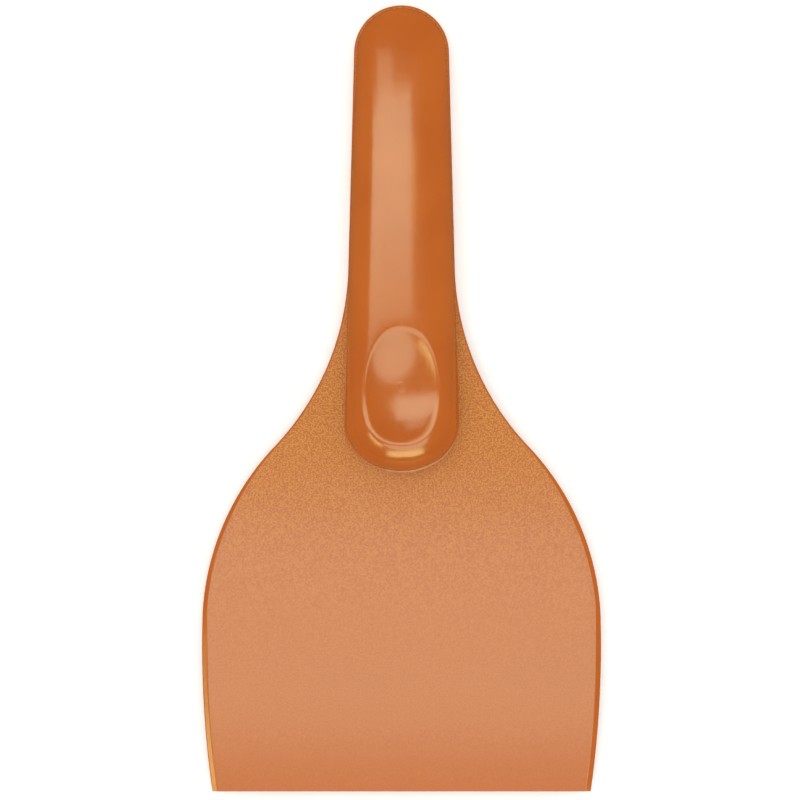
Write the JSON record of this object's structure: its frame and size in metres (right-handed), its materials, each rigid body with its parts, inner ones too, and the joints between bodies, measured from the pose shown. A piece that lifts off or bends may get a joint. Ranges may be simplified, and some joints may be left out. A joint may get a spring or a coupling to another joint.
{
  "type": "flexible putty knife",
  "caption": "Flexible putty knife: a wide springy plastic blade on a full-length tang, held between a domed handle shell with a thumb recess and a shallow back shell.",
  "frame": {"origin": "on the surface that the knife lies on, under the middle of its length and width", "axes": "+X across the blade, +Y from the working edge to the butt of the handle, +Z out of the thumb side"},
  "size_m": [0.103, 0.203, 0.0186],
  "materials": {
    "blade_plastic": "fine textured orange",
    "handle_plastic": "smooth glossy orange",
    "pin_plastic": "plain orange"
  },
  "bodies": {
    "handle": {"blade_tang": "blade_plastic", "handle_front_shell": "handle_plastic", "handle_back_shell": "handle_plastic", "tang_pins": "pin_plastic"},
    "blade": {"blade": "blade_plastic"}
  },
  "joints": [
    {"name": "blade_flex", "type": "hinge", "parent": "handle", "child": "blade", "pos_m": [0, -0.04623, 0.0051], "axis": [1, 0, 0], "range_deg": [-25, 25], "stiffness_Nm_per_rad": 1.1}
  ]
}
